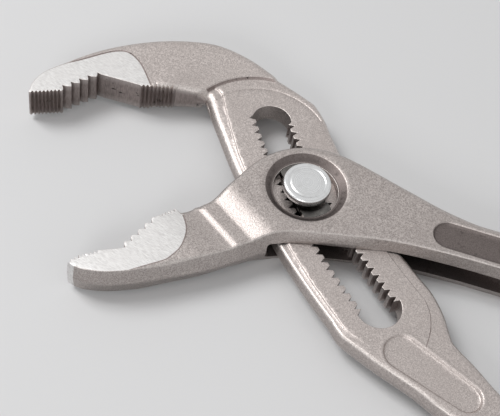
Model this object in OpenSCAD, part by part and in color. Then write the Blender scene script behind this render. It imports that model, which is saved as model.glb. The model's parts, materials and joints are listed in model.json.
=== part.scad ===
// Water pump pliers with a box joint and a push-button adjustment.
// Each leg is drawn in its own plane, seen from the button side, with the hinge bolt at the origin,
// and is then turned into the open pose. Heights are counted from the middle plane of the tool
// until a piece is placed; z = 0 of the finished tool is the rear face of the box joint.

/* [Pose] */
// Turn of the slotted leg: its slot's direction at the bolt, from the tool's length
slotted_turn = -37; // [-45:1:-15]
// Turn of the box leg: its handle's direction, from the tool's length
box_turn = 15; // [0:1:20]
// Furthest that the box leg opens past this pose
open_swing = 2; // [0:0.5:4]
// Furthest that the box leg closes from this pose
close_swing = 21; // [10:1:21]

/* [Thickness] */
// Both jaws, front to rear
jaw_thickness = 8.6; // [7:0.1:10]
// Box joint, front face to rear face
box_thickness = 11.2; // [10.8:0.1:13]
// Slotted shank where it slides in the box
shank_thickness = 5; // [4.6:0.1:5.4]
// Forged handles inside their grips
tang_thickness = 9; // [7:0.1:10]
// Plastic grips
grip_thickness = 11.2; // [10.6:0.1:14]
// Play between the shank and each plate of the box
gap_clear = 0.1; // [0.05:0.05:0.2]

/* [Slot and racks] */
// Radius of the slot's curved middle line
slot_radius = 171; // [150:1:200]
// Width of the slot between the crests of its two racks
slot_width = 7.3; // [6.8:0.1:7.8]
// Distance from notch to notch along the slot's middle line
rack_pitch = 2.16; // [2:0.02:2.3]
// Depth of a notch
notch_depth = 1.1; // [0.8:0.05:1.2]
// Width of a notch at the crest
notch_width = 1.3; // [1:0.05:1.5]
// Positions from this pose towards the jaw
steps_in = 9; // [6:1:9]
// Positions from this pose towards the handle
steps_out = 15; // [9:1:15]
// Radius of the slot's end next to the jaw
slot_end_in = 4.7; // [4.5:0.1:5]
// Radius of the slot's end next to the handle
slot_end_out = 5; // [4.8:0.1:5.4]
// Shank from the slot's middle line to its edge on the jaw's open side
shank_below = 12.3; // [11.6:0.1:13]
// Shank from the slot's middle line to its back edge
shank_above = 13.1; // [12.4:0.1:14]

/* [Hinge bolt] */
// Radius of the bores in both plates of the box
bore_radius = 7.5; // [7.2:0.05:7.8]
// Radial play of the bolt in those bores
bolt_clear = 0.08; // [0.03:0.01:0.1]
// Outer radius of the countersink round the button
sink_radius = 9.4; // [8.8:0.1:9.8]
// Depth of that countersink
sink_depth = 1.3; // [1:0.1:1.6]
// Flat ring between the countersink's foot and the bore
sink_ledge = 0.5; // [0.2:0.1:0.8]
// Half length of the bolt's neck along the slot
neck_half = 4.4; // [4:0.1:4.6]
// Radius that rounds the neck's corners for the slot's ends
neck_round = 4.6; // [4.4:0.05:4.7]
// Play of the neck's two flats from the rack crests
neck_clear = 0.25; // [0.2:0.05:0.4]

/* [Push button and lock] */
// Travel of the button when it is pressed
button_stroke = 2.1; // [2:0.05:2.2]
// Radius of the button cap
cap_radius = 5.5; // [5:0.1:5.6]
// Height of the button cap
cap_height = 1.9; // [1.8:0.1:2.4]
// Thickness of the cap's top
cap_top = 0.9; // [0.8:0.05:1]
// Height of the toothed lock bar
bar_height = 1.8; // [1.6:0.05:1.9]
// Half length of the lock bar along the slot
bar_half = 3; // [2.9:0.05:3.1]
// Play of the lock bar's teeth in the notches
bar_clear = 0.15; // [0.1:0.01:0.18]
// Radius of the push pin
pin_radius = 2; // [1.8:0.05:2.1]
// Radius of the push pin's two end spigots
spigot_radius = 1.4; // [1.2:0.05:1.5]
// Wire diameter of the return spring
wire = 0.6; // [0.4:0.05:0.7]
// Turns of the return spring
spring_turns = 3; // [2:1:4]
// Thickness of the retaining ring and of the bolt's rear cover
ring_thickness = 0.5; // [0.4:0.05:0.6]

/* [Handles] */
// Length of the slotted leg's handle from the end of the shank
slotted_handle = 130; // [100:1:150]
// Length of the box leg's handle from the end of the box
box_handle = 140; // [110:1:160]
// Width of both forged handles inside their grips
tang_width = 12; // [10:0.5:13]
// Where the slotted leg's grip starts along its handle
slotted_grip_from = 24; // [18:1:40]
// Where the box leg's grip starts along its handle
box_grip_from = 26; // [20:1:40]
// Plastic beside the forged handle
grip_wall = 1.8; // [1:0.1:2.6]
// Extra width of a grip where the palm holds it
grip_swell = 1.6; // [0:0.1:2.2]

/* [Hidden] */
$fn = 64;
forged = [0.66, 0.63, 0.6];
bright = [0.86, 0.86, 0.85];
plastic = [0.16, 0.17, 0.19];

// Heights from the middle plane
mid_z = box_thickness / 2;
face_z = box_thickness / 2;
gap_z = shank_thickness / 2 + gap_clear;
ring_inset = 0.15;
ring_play = 0.05;
lock_play = 0.1;
seat_wall = 1.5;
cup_depth = 2.4;
overrun = 1;
ring_grip = 0.5;
flange_rear = -face_z + ring_inset + ring_thickness + ring_play;
bar_foot = -shank_thickness / 2 + lock_play;
bar_head = bar_foot + bar_height;
window_top = bar_head + lock_play;
spring_seat = window_top + seat_wall;
bolt_cup = face_z - cup_depth;
cap_foot = bolt_cup + lock_play + button_stroke;
cap_inner = cap_foot + cap_height - cap_top;

// Slot: angles along its middle line run from the bolt, positive towards the handle
step_angle = rack_pitch / slot_radius * 180 / PI;
crest = slot_width / 2;
first_notch = -steps_in - 2;
last_notch = steps_out + 1;
slot_end_steps = 0.9;
neck_width = crest - neck_clear;
bolt_radius = bore_radius - bolt_clear;

// Curves
function turn(p, a) = [p.x * cos(a) - p.y * sin(a), p.x * sin(a) + p.y * cos(a)];
function on_slot(a, out) = [(slot_radius + out) * sin(a), slot_radius - (slot_radius + out) * cos(a)];
function slot_arc(a0, a1, out, n) = [for (i = [0:n]) on_slot(a0 + (a1 - a0) * i / n, out)];
function through(a, b, c, d, t) =
    0.5 * (2 * b + (c - a) * t + (2 * a - 5 * b + 4 * c - d) * t * t + (3 * b - a - 3 * c + d) * t * t * t);
function smooth(p, n) =
    let (last = len(p) - 1)
    concat([for (i = [0:last - 1]) for (j = [0:n - 1])
        through(p[max(i - 1, 0)], p[i], p[i + 1], p[min(i + 2, last)], j / n)], [p[last]]);
// Saw teeth from a to b, cut to the right of that line
function fine_teeth(a, b, n, depth) =
    let (along = (b - a) / n, side = [along.y, -along.x] / norm(along))
    [for (i = [0:n - 1]) each [a + along * i, a + along * (i + 0.6) + side * depth]];
// Stepped teeth: tips a pitch apart, each followed by its root
function step_teeth(tip, pitch, root, n) =
    [for (i = [0:n - 1]) each [tip + pitch * i, tip + pitch * i + root]];
// A bowed handle: a point of its middle line, and one of its sides
function bow_point(h, s) =
    let (r = h[2] / (h[3] * PI / 180), a = h[1] + h[3] * s / h[2])
    h[0] + r * [sin(a) - sin(h[1]), cos(h[1]) - cos(a)];
function bow_side(h, s, w) = let (a = h[1] + h[3] * s / h[2]) bow_point(h, s) + w * [-sin(a), cos(a)];
function ease(t) = let (u = min(max(t, 0), 1)) u * u * (3 - 2 * u);

// Handles: start, heading, length and bow in degrees
slotted_bow = [[50, 8.4], 21, slotted_handle, 2];
box_bow = [[40, -2.2], -1, box_handle, 1];
slotted_root_width = 15.2;
box_root_width = 12;
root_length = 16;
taper_length = 6;
taper_gap = 0.3;
tang_steps = 24;
tang_tip = 8;
tip_draw = 0.35;
function tip_share(h, s) = 1 - tip_draw * ease((s - h[2] + tang_tip) / tang_tip);
function tang_half(h, root, s) =
    (root + (tang_width - root) * ease(s / root_length)) / 2 * tip_share(h, s);
function tang_sides(h, root) = concat(
    [for (i = [0:tang_steps]) let (s = h[2] * i / tang_steps) bow_side(h, s, tang_half(h, root, s))],
    [for (i = [tang_steps:-1:0]) let (s = h[2] * i / tang_steps) bow_side(h, s, -tang_half(h, root, s))]);
slotted_tang = tang_sides(slotted_bow, slotted_root_width);
box_tang = tang_sides(box_bow, box_root_width);

// Upper jaw, from the tip round its back to the shank
upper_tip = [-46.3, -50.4];
upper_back = [upper_tip, [-49, -48.6], [-51.2, -45], [-52.6, -38.5], [-53.7, -32], [-54, -26], [-53.4, -19],
              [-51.8, -12], [-49, -5], [-46, -0.7], [-40, 4.7], [-33, 8.8], [-27.5, 11.8], [-23.5, 13.8]];
// Upper jaw, from the shank down its mouth
upper_throat = [[-34.6, -11.8], [-37.3, -17.1]];
upper_bite = [-40.4, -25.1];
upper_notch = [-46.6, -33.3];
upper_step = [-45.8, -34];
upper_step_pitch = [0.35, -2.18];
upper_step_root = [-0.7, -1.75];
upper_steps = 4;
fine_depth = 0.45;
back_from = -6.6;
back_to = 12;
throat_angle = -10.5;
belly_angle = 11.4;
neck_points = [[39, 16.4], [45.2, 15.1]];
slotted_plan = concat(
    smooth(upper_back, 4),
    slot_arc(back_from, back_to, -shank_above, 12),
    neck_points,
    slotted_tang,
    slot_arc(belly_angle, throat_angle, shank_below, 14),
    [upper_throat[0]],
    fine_teeth(upper_throat[1], upper_bite, 9, -fine_depth),
    [upper_bite, upper_notch],
    step_teeth(upper_step, upper_step_pitch, upper_step_root, upper_steps),
    fine_teeth(upper_step + upper_step_pitch * upper_steps, upper_tip, 9, -fine_depth));

// Milled seat of the shank, where the box slides: it ends at the thick jaw
seat_centre = [-16.9, -3.5];
seat_radius = 18.9;

// Sunk panel at the start of the slotted leg's handle
panel_ends = [[45.7, 3.4, 4.9], [58.3, 10.6, 4]];
panel_depth = 0.4;
function tapered_ends(a, b, n) =
    let (d = [b.x - a.x, b.y - a.y], q = atan2(d.y, d.x), w = acos((a.z - b.z) / norm(d)))
    concat([for (i = [0:n]) let (t = q + w + (360 - 2 * w) * i / n) [a.x + a.z * cos(t), a.y + a.z * sin(t)]],
           [for (i = [0:n]) let (t = q - w + 2 * w * i / n) [b.x + b.z * cos(t), b.y + b.z * sin(t)]]);

// Lower jaw, from the tip along its teeth
lower_tip = [-44.3, -35.5];
lower_crown = [-42.6, -33];
lower_flat = [[-39, -30.6], [-34.7, -28.6], [-34.1, -27.9]];
lower_step = [-34.3, -26.6];
lower_step_pitch = [0.925, 1.975];
lower_step_root = [1.05, 0.8];
lower_steps = 5;
lower_bite = [[-29.3, -17.4], [-26.3, -14.1]];
// Box leg, from the inner end of the jaw over the bolt to the handle, and back underneath
box_top = [[-25.5, -14.5], [-23, -12.2], [-20.7, -10.2], [-19.2, -8.2], [-16.6, -3.4], [-13.9, 2],
           [-11.5, 5.6], [-8.4, 8.6], [-5.2, 10.6], [-1.5, 11.9], [3, 12.4], [8, 11.8], [14, 10.2],
           [22, 7.8], [31, 5.4]];
box_foot = [[30, -8.5], [22, -9.2], [12, -11.2], [5, -12.8], [0, -14.2], [-4, -16.2], [-8, -19.2],
            [-13, -23.3], [-19, -27.4], [-25, -31], [-31, -34.2], [-36, -36.2], [-40, -36.9], [-42.6, -36.5]];
box_plan = concat(
    fine_teeth(lower_tip, lower_crown, 3, fine_depth),
    fine_teeth(lower_crown, lower_flat[0], 5, fine_depth),
    lower_flat,
    step_teeth(lower_step, lower_step_pitch, lower_step_root, lower_steps),
    fine_teeth(lower_bite[0], lower_bite[1], 6, fine_depth),
    smooth(box_top, 3),
    box_tang,
    smooth(box_foot, 3));
// Ramp from the jaw up to the box: a point of its foot, its direction and its length
ramp_foot = [-15, -17.4];
ramp_turn = 54.5;
ramp_length = 6.5;
channel_width = 6.4;
channel_depth = 0.8;
channel_from = -8;
channel_to = 14;
channel_steps = 6;
channel_step = (channel_to - channel_from) / channel_steps;
function channel_side(i, w) = bow_side(box_bow, channel_from + channel_step * i, w);
channel_plan = concat([for (i = [0:channel_steps]) channel_side(i, channel_width / 2)],
                      [for (i = [channel_steps:-1:0]) channel_side(i, -channel_width / 2)]);

// Opening of the box: a line along each edge of the shank, at its two furthest turns
side_clear = 0.45;
shank_open = slotted_turn - box_turn - open_swing;
shank_shut = slotted_turn - box_turn + close_swing;
function edge_cross(d) =
    let (a = turn([0, 1], shank_open), b = turn([0, 1], shank_shut), k = a.x * b.y - a.y * b.x)
    d * [b.y - a.y, a.x - b.x] / k;
throat = edge_cross(-shank_below - side_clear);
heel_out = -shank_above - side_clear;
heel_turn = (shank_shut - shank_open) / 2;
heel_cross = asin(slot_radius * sin(heel_turn) / (slot_radius + heel_out)) - heel_turn;
heel_span = 24;
heel_steps = 10;
function heel_angle(i) = heel_cross + heel_span * i / heel_steps;
reach = 60;
gap_plan = concat(
    [throat + turn([-reach, 0], shank_shut), throat, throat + turn([reach, 0], shank_open)],
    [for (i = [heel_steps:-1:0]) turn(on_slot(heel_angle(i), heel_out), shank_shut)],
    [for (i = [1:heel_steps]) turn(on_slot(-heel_angle(i), heel_out), shank_open)]);

// Places a piece that is drawn in the slotted leg's plane, or in the box leg's plane
module on_slotted_leg() { translate([0, 0, mid_z]) rotate(slotted_turn) children(); }
module on_box_leg() { translate([0, 0, mid_z]) rotate(box_turn) children(); }
module slab(thickness) { translate([0, 0, -thickness / 2]) linear_extrude(thickness) children(); }
module between(z0, z1) { translate([0, 0, z0]) linear_extrude(z1 - z0) children(); }

// A side view, drawn along a heading from a start, as a solid that reaches past both sides of the tool
module across(start, heading) {
    translate([start.x, start.y, 0]) rotate([90, 0, heading])
        translate([0, 0, -reach * 4]) linear_extrude(reach * 8) children();
}

// Thickness of a leg along its handle: level, then a wedge that ends at the grip, then level
module handle_profile(h, to, thick_from, thick_to) {
    start = bow_point(h, to - taper_length - taper_gap);
    far = h[2] + reach;
    across(start, h[1])
        polygon([[-far, thick_from / 2], [0, thick_from / 2], [taper_length, thick_to / 2],
                 [far, thick_to / 2], [far, -thick_to / 2], [taper_length, -thick_to / 2],
                 [0, -thick_from / 2], [-far, -thick_from / 2]]);
}

// Slot with a rack of notches on each side, as one outline
function rack(out, dir) = [
    for (k = [first_notch:last_notch])
        let (n = dir > 0 ? k : first_notch + last_notch - k, half = notch_width / rack_pitch / 2 * dir)
        each [on_slot((n - half) * step_angle, out * crest),
              on_slot(n * step_angle, out * (crest + notch_depth)),
              on_slot((n + half) * step_angle, out * crest)]];
module slot_cut(height) {
    slab(height) polygon(concat(rack(1, 1), rack(-1, -1)));
    in = on_slot((first_notch + slot_end_steps) * step_angle, 0);
    out = on_slot((last_notch - slot_end_steps) * step_angle, 0);
    translate([in.x, in.y, -height / 2]) cylinder(h = height, r = slot_end_in);
    translate([out.x, out.y, -height / 2]) cylinder(h = height, r = slot_end_out);
}

// Forged leg with the upper jaw, the slotted shank and the lower handle
module slotted_leg() color(forged) on_slotted_leg() difference() {
    union() {
        slab(shank_thickness) polygon(slotted_plan);
        slab(jaw_thickness) difference() {
            polygon(slotted_plan);
            translate(seat_centre) circle(r = seat_radius, $fn = 96);
            translate([seat_centre.x, -reach]) square([reach * 3, reach * 2]);
        }
        intersection() {
            slab(tang_thickness) polygon(slotted_tang);
            handle_profile(slotted_bow, slotted_grip_from, shank_thickness, tang_thickness);
        }
    }
    slot_cut(jaw_thickness * 2);
    for (side = [-1, 1])
        translate([0, 0, side * shank_thickness / 2]) slab(panel_depth * 2)
            polygon(tapered_ends(panel_ends[0], panel_ends[1], 10));
}

// Forged leg with the lower jaw, the box joint and the upper handle
module box_leg() color(forged) on_box_leg() difference() {
    intersection() {
        slab(box_thickness) polygon(box_plan);
        across(ramp_foot, ramp_turn)
            polygon([[-reach, jaw_thickness / 2], [0, jaw_thickness / 2], [ramp_length, face_z],
                     [reach * 4, face_z], [reach * 4, -face_z], [ramp_length, -face_z],
                     [0, -jaw_thickness / 2], [-reach, -jaw_thickness / 2]]);
        handle_profile(box_bow, box_grip_from, box_thickness, tang_thickness);
    }
    slab(gap_z * 2) polygon(gap_plan);
    translate([0, 0, -face_z - overrun]) cylinder(h = box_thickness + overrun * 2, r = bore_radius);
    translate([0, 0, face_z - sink_depth])
        cylinder(h = sink_depth, r1 = bore_radius + sink_ledge, r2 = sink_radius);
    translate([0, 0, face_z]) cylinder(h = overrun, r = sink_radius);
    translate([0, 0, -face_z + ring_inset - ring_play])
        cylinder(h = ring_thickness + ring_play * 2, r = bore_radius + ring_grip + ring_play);
    for (side = [-1, 1])
        translate([0, 0, side * face_z]) slab(channel_depth * 2) polygon(channel_plan);
}

// Plastic grip: a ribbon round the forged handle, drawn in at its front and rear faces
grip_end = 4;
grip_edge = 1.6;
grip_round = 9;
grip_steps = 14;
round_steps = 12;
function grip_half(h, s, from) =
    tang_width / 2 + grip_wall + grip_swell * sin(180 * (s - from) / (h[2] - from));
function grip_sides(h, from, inset) =
    let (start = from + inset, to = h[2] + grip_end - grip_round - inset, run = (to - start) / grip_steps,
         end_half = grip_half(h, to, from) - inset)
    concat([for (i = [0:grip_steps])
                let (s = start + run * i) bow_side(h, s, grip_half(h, s, from) - inset)],
           [for (i = [1:round_steps - 1])
                let (a = 180 * i / round_steps) bow_side(h, to + grip_round * sin(a), end_half * cos(a))],
           [for (i = [grip_steps:-1:0])
                let (s = start + run * i) bow_side(h, s, inset - grip_half(h, s, from))]);
module grip(h, from) {
    slab(grip_thickness - 2 * grip_edge) polygon(grip_sides(h, from, 0));
    slab(grip_thickness - grip_edge) polygon(grip_sides(h, from, grip_edge * 0.3));
    slab(grip_thickness) polygon(grip_sides(h, from, grip_edge));
}
module slotted_leg_grip() color(plastic) on_slotted_leg() difference() {
    grip(slotted_bow, slotted_grip_from);
    slab(tang_thickness) polygon(slotted_tang);
}
module box_leg_grip() color(plastic) on_box_leg() difference() {
    grip(box_bow, box_grip_from);
    slab(tang_thickness) polygon(box_tang);
}

// Turned and milled hinge bolt: a round flange in the rear plate, a flat neck in the slot,
// and a journal with two flats in the front plate, hollow for the lock
pocket_half = bar_half + lock_play;
pocket_width = crest + notch_depth + lock_play;
pin_clear = 0.06;
coil_clear = 0.25;
cup_clear = 0.3;
weld = 0.01;
spring_radius = pin_radius + coil_clear + wire / 2;
journal_top = face_z - sink_depth - lock_play;
module hinge_bolt() color(bright) on_slotted_leg() difference() {
    union() {
        translate([0, 0, flange_rear]) cylinder(h = -gap_z - flange_rear, r = bolt_radius);
        intersection() {
            translate([-neck_half, -neck_width, -gap_z - weld])
                cube([neck_half * 2, neck_width * 2, (gap_z + weld) * 2]);
            translate([0, 0, -gap_z - weld]) cylinder(h = (gap_z + weld) * 2, r = neck_round);
        }
        intersection() {
            translate([0, 0, gap_z]) cylinder(h = journal_top - gap_z, r = bolt_radius);
            translate([-bore_radius, -neck_width, 0]) cube([bore_radius * 2, neck_width * 2, face_z]);
        }
    }
    translate([-pocket_half, -pocket_width, flange_rear - overrun])
        cube([pocket_half * 2, pocket_width * 2, window_top - flange_rear + overrun]);
    translate([0, 0, window_top - overrun]) cylinder(h = face_z, r = pin_radius + pin_clear);
    translate([0, 0, spring_seat]) cylinder(h = face_z, r = spring_radius + wire / 2 + coil_clear);
    translate([0, 0, bolt_cup]) cylinder(h = face_z, r = cap_radius + cup_clear);
}

// Disc that closes the lock's pocket at the rear of the bolt
cover_rim = 1.5;
cover_radius = bore_radius - cover_rim;
cover_play = 0.3;
module bolt_cover() color(bright) on_slotted_leg()
    translate([0, 0, flange_rear - ring_thickness]) cylinder(h = ring_thickness, r = cover_radius);

// Spring-steel ring, split at one side, in a groove of the rear plate: it keeps the bolt in
ring_split = 14;
module retaining_ring() color(bright) on_box_leg() translate([0, 0, -face_z + ring_inset]) difference() {
    cylinder(h = ring_thickness, r = bore_radius + ring_grip);
    translate([0, 0, -overrun]) cylinder(h = ring_thickness + overrun * 2, r = cover_radius + cover_play);
    translate([0, 0, -overrun]) linear_extrude(ring_thickness + overrun * 2)
        polygon([[0, 0], turn([reach, 0], -ring_split), turn([reach, 0], ring_split)]);
}

// Toothed cross bar: its teeth stand in both racks until the button is pressed
tooth_rise = notch_depth - 2 * bar_clear;
base_half = notch_width / 2 * (tooth_rise + bar_clear) / notch_depth;
function bar_teeth(out, dir) = [
    for (k = [-1:1])
        each [on_slot((k * dir - dir * base_half / rack_pitch) * step_angle, out * (crest - bar_clear)),
              on_slot(k * dir * step_angle, out * (crest + tooth_rise)),
              on_slot((k * dir + dir * base_half / rack_pitch) * step_angle, out * (crest - bar_clear))]];
bar_step = 0.05;
bar_flank = crest - bar_clear - bar_step;
spigot_clear = 0.02;
module lock_bar() color(bright) on_slotted_leg() difference() {
    between(bar_foot, bar_head)
        polygon(concat([[-bar_half, -bar_flank]], bar_teeth(1, 1),
                       [[bar_half, -bar_flank], [bar_half, bar_flank]],
                       bar_teeth(-1, -1), [[-bar_half, bar_flank]]));
    translate([0, 0, bar_foot - overrun])
        cylinder(h = bar_height + overrun * 2, r = spigot_radius + spigot_clear);
}

// Turned pin that joins the button to the lock bar
spigot_in_cap = 0.5;
module push_pin() color(bright) on_slotted_leg() {
    translate([0, 0, bar_foot]) cylinder(h = bar_height + weld, r = spigot_radius);
    translate([0, 0, bar_head]) cylinder(h = cap_inner - bar_head, r = pin_radius);
    translate([0, 0, cap_inner - weld]) cylinder(h = spigot_in_cap, r = spigot_radius);
}

// Button cap: a shallow turned cup with a chamfered rim and one ring groove in its face
cap_bore = spring_radius + wire / 2 + coil_clear * 2;
cap_chamfer = 0.35;
groove_inset = 1.55;
groove_radius = cap_radius - groove_inset;
groove = 0.15;
cap_floor = cap_height - cap_top;
socket_top = cap_floor + spigot_in_cap + spigot_clear;
socket_radius = spigot_radius + spigot_clear;
module push_button() color(bright) on_slotted_leg() translate([0, 0, cap_foot]) rotate_extrude($fn = 96)
    polygon([[0, cap_height], [0, socket_top], [socket_radius, socket_top], [socket_radius, cap_floor],
             [cap_bore, cap_floor], [cap_bore, 0], [cap_radius, 0], [cap_radius, cap_height - cap_chamfer],
             [cap_radius - cap_chamfer, cap_height], [groove_radius + groove * 2, cap_height],
             [groove_radius + groove, cap_height - groove], [groove_radius - groove, cap_height - groove],
             [groove_radius - groove * 2, cap_height]]);

// Return spring: one open coil round the push pin, from the bolt to the cap
ring_steps = 8;
wire_sides = 6;
coil_rings = spring_turns * ring_steps;
coil_play = 0.02;
coil_foot = spring_seat + wire / 2 + coil_play;
coil_rise = cap_inner - spring_seat - wire - coil_play * 2;
function coil_point(i, j) =
    let (a = 360 * i / ring_steps, b = 360 * j / wire_sides, r = spring_radius + wire / 2 * cos(b))
    [r * cos(a), r * sin(a), coil_foot + coil_rise * i / coil_rings + wire / 2 * sin(b)];
coil_points = [for (i = [0:coil_rings]) for (j = [0:wire_sides - 1]) coil_point(i, j)];
function coil_index(i, j) = i * wire_sides + j % wire_sides;
coil_faces = concat(
    [for (i = [0:coil_rings - 1]) for (j = [0:wire_sides - 1])
        each [[coil_index(i, j), coil_index(i, j + 1), coil_index(i + 1, j)],
              [coil_index(i, j + 1), coil_index(i + 1, j + 1), coil_index(i + 1, j)]]],
    [for (j = [1:wire_sides - 2]) each [[0, coil_index(0, j + 1), coil_index(0, j)],
        [coil_index(coil_rings, 0), coil_index(coil_rings, j), coil_index(coil_rings, j + 1)]]]);
coil_gap = min([for (i = [0:coil_rings - ring_steps])
    for (j = [0:wire_sides - 1]) for (k = [0:wire_sides - 1])
        norm(coil_point(i, j) - coil_point(i + ring_steps, k))]);
echo(least_gap_between_coils = coil_gap);
module return_spring() color(bright) on_slotted_leg() polyhedron(coil_points, coil_faces);

slotted_leg();
box_leg();
slotted_leg_grip();
box_leg_grip();
hinge_bolt();
bolt_cover();
retaining_ring();
lock_bar();
push_pin();
push_button();
return_spring();
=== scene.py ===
import json
import math
import bmesh
import bpy
import numpy as np
from mathutils import Matrix, Vector
from mathutils.geometry import convex_hull_2d, delaunay_2d_cdt
from mathutils.kdtree import KDTree


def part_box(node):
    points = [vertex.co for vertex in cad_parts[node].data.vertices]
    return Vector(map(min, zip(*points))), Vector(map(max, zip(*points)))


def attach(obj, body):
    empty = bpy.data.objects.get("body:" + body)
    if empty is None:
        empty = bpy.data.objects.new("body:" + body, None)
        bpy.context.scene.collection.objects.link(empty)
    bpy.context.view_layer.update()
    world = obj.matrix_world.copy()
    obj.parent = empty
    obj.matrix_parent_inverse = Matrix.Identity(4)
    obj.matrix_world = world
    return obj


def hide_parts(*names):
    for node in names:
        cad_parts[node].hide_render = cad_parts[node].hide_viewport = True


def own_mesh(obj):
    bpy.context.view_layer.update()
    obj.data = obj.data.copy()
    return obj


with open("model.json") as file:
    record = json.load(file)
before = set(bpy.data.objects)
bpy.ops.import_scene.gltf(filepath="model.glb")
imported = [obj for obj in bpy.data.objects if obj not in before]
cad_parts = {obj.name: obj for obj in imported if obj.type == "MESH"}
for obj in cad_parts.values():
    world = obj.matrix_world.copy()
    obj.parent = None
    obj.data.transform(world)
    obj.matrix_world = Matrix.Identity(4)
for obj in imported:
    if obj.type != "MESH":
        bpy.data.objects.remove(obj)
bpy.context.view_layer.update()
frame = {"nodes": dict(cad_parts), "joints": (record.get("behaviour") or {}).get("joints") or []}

# Slotted leg: one drop forging of alloy steel with the upper jaw, the slotted shank and the lower handle.
# The forging is blasted to a fine grain, its shank is milled flat where the box slides along it, the
# racks are broached through the slot, and the front of the jaw is ground bright down to the teeth.
MM = 0.001
joints = {joint["name"]: joint for joint in frame["joints"]}
mid_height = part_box("box_leg")[1].z / MM / 2
plan_level = mid_height + 0.137
slot_centre = np.array(joints["jaw_adjust"]["pos_m"][:2]) / MM
slot_radius = float(np.hypot(*slot_centre))
slotted_turn = -math.atan2(slot_centre[0], slot_centre[1])
outline_step = 0.7
straight_turn, corner_turn = math.radians(0.4), math.radians(24)


def turned(points, angle):
    """Points of the plan, turned about the bolt."""
    cos, sin = math.cos(angle), math.sin(angle)
    return np.asarray(points, float) @ np.array([[cos, sin], [-sin, cos]])


def plan_loops(node, level, turn):
    """Outlines of a level cut through a piece, in its leg's own plane, the longest first."""
    mesh = frame["nodes"][node].data
    mesh.calc_loop_triangles()
    spots = [tuple(v.co / MM) for v in mesh.vertices]
    links = {}
    for triangle in mesh.loop_triangles:
        corners = [spots[i] for i in triangle.vertices]
        ends = []
        for i in range(3):
            low, high = sorted((corners[i], corners[i - 1]))
            if (low[2] < level) != (high[2] < level):
                share = (level - low[2]) / (high[2] - low[2])
                ends.append(tuple(round(low[k] + (high[k] - low[k]) * share, 3) for k in (0, 1)))
        if len(ends) == 2 and ends[0] != ends[1]:
            links.setdefault(ends[0], []).append(ends[1])
            links.setdefault(ends[1], []).append(ends[0])
    loops = []
    while links:
        path = [next(iter(links))]
        while links.get(path[-1]):
            step = links[path[-1]].pop()
            links[step].remove(path[-1])
            path.append(step)
        for spot in path:
            if not links.get(spot):
                links.pop(spot, None)
        if len(path) > 3:
            loops.append(turned(path[:-1], -turn))
    return sorted(loops, key=lambda loop: -np.ptp(loop, axis=0).sum())


def turn_angles(loop):
    """How far the outline turns at each of its points."""
    ahead = np.roll(loop, -1, 0) - loop
    behind = loop - np.roll(loop, 1, 0)
    cross = behind[:, 0] * ahead[:, 1] - behind[:, 1] * ahead[:, 0]
    return np.arctan2(cross, (behind * ahead).sum(1))


def spline(a, b, c, d, steps):
    """Points from b up to c on the smooth curve that runs through all four."""
    return [0.5 * (2 * b + (c - a) * t + (2 * a - 5 * b + 4 * c - d) * t**2 + (3 * b - a - 3 * c + d) * t**3)
            for t in np.arange(steps) / steps]


def faired(loop, spacing, clockwise=False):
    """The outline with its straight points dropped and a smooth curve between its corners."""
    loop = loop[np.abs(turn_angles(loop)) > straight_turn]
    area = (loop[:, 0] * np.roll(loop[:, 1], -1) - loop[:, 1] * np.roll(loop[:, 0], -1)).sum()
    if (area < 0) != clockwise:
        loop = loop[::-1]
    corner = np.abs(turn_angles(loop)) > corner_turn
    out = []
    count = len(loop)
    for i in range(count):
        b, c = loop[i], loop[(i + 1) % count]
        a = 2 * b - c if corner[i] else loop[i - 1]
        d = 2 * c - b if corner[(i + 1) % count] else loop[(i + 2) % count]
        span = np.linalg.norm(c - b)
        a = b + (a - b) * min(1, span / max(np.linalg.norm(a - b), 1e-6))
        d = c + (d - c) * min(1, span / max(np.linalg.norm(d - c), 1e-6))
        out += spline(a, b, c, d, max(1, round(span / spacing)))
    return np.array(out)


slotted_outline = faired(plan_loops("slotted_leg", plan_level, slotted_turn)[0], outline_step)

rack_pitch, crest, notch_depth, notch_half = 2.16, 3.65, 1.4, 0.3
open_rack, far_rack = (-11, 14), (-9, 15)
upper_end, upper_end_radius = -10.1, 4.7
lower_end, lower_end_radius = 15.0, 5.25


def about_centre(angle, reach):
    """A place on the plan, by its angle about the slot's centre and its distance from there."""
    return np.stack([reach * np.sin(angle), slot_radius - reach * np.cos(angle)], -1)


def on_slot(step, out):
    """A place on the plan, by notches along the slot from the bolt and distance from the slot's middle."""
    return about_centre(np.asarray(step) * rack_pitch / slot_radius, slot_radius + np.asarray(out))


def rack(side, first, last):
    """Crests and notches from one notch to another, on one side of the slot."""
    return [on_slot(n + shift, side * (crest + deep * notch_depth))
            for n in range(first, last + 1) for shift, deep in ((-notch_half, 0), (0, 1), (notch_half, 0))]


def slot_round(step, radius, first, last):
    """Part of the round end of the slot, between two angles from its own lengthwise direction."""
    sweep = np.radians(np.linspace(first, last, 24))
    return list(on_slot(step + radius * np.cos(sweep) / rack_pitch, radius * np.sin(sweep)))


slot_points = rack(1, *open_rack)[1:] + slot_round(lower_end, lower_end_radius, 98, -78)
slot_points += rack(-1, *far_rack)[::-1] + slot_round(upper_end, upper_end_radius, -76, -237)
slot_outline = faired(np.array(slot_points), outline_step, clockwise=True)

jaw_half, shank_half, tang_half = 4.3, 2.5, 4.5
upper_tip, upper_throat = np.array([-46.3, -50.4]), np.array([-34.6, -11.8])
upper_ground = np.array([
    (-46, -53), (-49.4, -49.9), (-51.4, -46.8), (-52, -41.4), (-51.95, -36), (-52.2, -30.8), (-52.2, -28.3),
    (-51.8, -25.9), (-51, -24.4), (-49.6, -23.4), (-47, -22.6), (-44, -22.4), (-38.5, -22.6)])
upper_mouth = np.array([(-30, -21), (-30, -56)])
# A narrow band along the edge of each ground flat, on its floor and its low wall, is painted shade.
ground_step, ground_depth, shade_inner_edge, shade_outer_edge = 0.35, 0.14, -0.24, 0.055


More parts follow.
